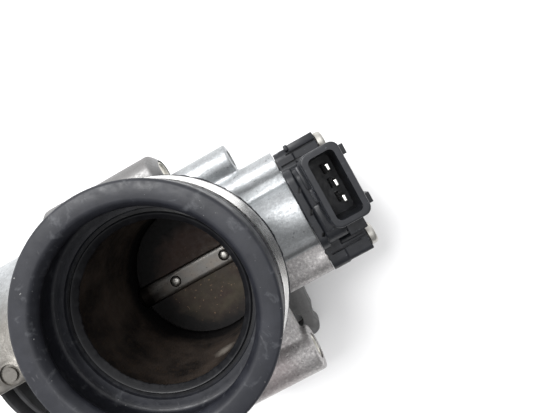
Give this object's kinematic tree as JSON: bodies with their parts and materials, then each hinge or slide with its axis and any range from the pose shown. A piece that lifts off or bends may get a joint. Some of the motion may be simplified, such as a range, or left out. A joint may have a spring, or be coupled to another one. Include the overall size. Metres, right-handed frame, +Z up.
{
  "type": "throttle body",
  "caption": "Cable-operated engine throttle body: round bore with rubber inlet ring, sprung butterfly plate, cable quadrant, angled bolt flange and plug-in position sensor.",
  "frame": {"origin": "centre of the bounding box at the level of the engine-side flange face; the bore's axis stands at x 4.8 mm, y 2.3 mm and the shaft's axis 30 mm above the face", "axes": "+Z up the bore to the air inlet, +X along the throttle shaft to the position sensor, +Y completes the right-handed frame"},
  "size_m": [0.1324, 0.1018, 0.0856],
  "materials": {
    "cast_aluminium": "bright fine-grained casting",
    "inlet_rubber": "satin moulded rubber with scuffs",
    "seal_rubber": "matt moulded rubber",
    "band_steel": "polished band",
    "bush_bronze": "sintered, oiled",
    "shaft_steel": "ground, lightly oiled",
    "plate_brass": "stained with brown oil film",
    "screw_steel": "dull grey plated",
    "lever_plastic": "moulded",
    "spring_steel": "drawn wire",
    "plug_metal": "bright plated",
    "sensor_plastic": "moulded, slight sheen",
    "pin_metal": "tinned",
    "sleeve_steel": "bright plated",
    "wiper_bronze": "spring bronze",
    "track_board": "coated board"
  },
  "bodies": {
    "housing": {"throttle_housing": "cast_aluminium", "inlet_seal": "inlet_rubber", "flange_seal": "seal_rubber", "lever_side_seal": "seal_rubber", "sensor_side_seal": "seal_rubber", "sensor_seal": "seal_rubber", "seal_band": "band_steel", "lever_side_bush": "bush_bronze", "sensor_side_bush": "bush_bronze", "upper_sensor_screw": "screw_steel", "lower_sensor_screw": "screw_steel", "idle_stop_screw": "screw_steel", "idle_stop_locknut": "screw_steel", "return_spring": "spring_steel", "port_plug": "plug_metal", "upper_passage_plug": "plug_metal", "lower_passage_plug": "plug_metal", "upper_hose_nipple": "plug_metal", "lower_hose_nipple": "plug_metal", "sensor_housing": "sensor_plastic", "terminal_pin_1": "pin_metal", "terminal_pin_2": "pin_metal", "terminal_pin_3": "pin_metal", "upper_screw_sleeve": "sleeve_steel", "lower_screw_sleeve": "sleeve_steel", "resistor_board": "track_board"},
    "throttle": {"throttle_shaft": "shaft_steel", "throttle_plate": "plate_brass", "plate_screw_lever_side": "screw_steel", "plate_screw_sensor_side": "screw_steel", "cable_quadrant": "lever_plastic", "lever_washer": "screw_steel", "lever_nut": "screw_steel", "sensor_rotor": "sensor_plastic", "inner_wiper": "wiper_bronze", "outer_wiper": "wiper_bronze"}
  },
  "joints": [
    {"name": "throttle_turn", "type": "hinge", "parent": "housing", "child": "throttle", "pos_m": [0.0048, 0.0023, 0.03], "axis": [1, 0, 0], "range_deg": [0, 85], "stiffness_Nm_per_rad": 0.25, "springref_deg": -57.3, "deforming": ["return_spring"]}
  ]
}
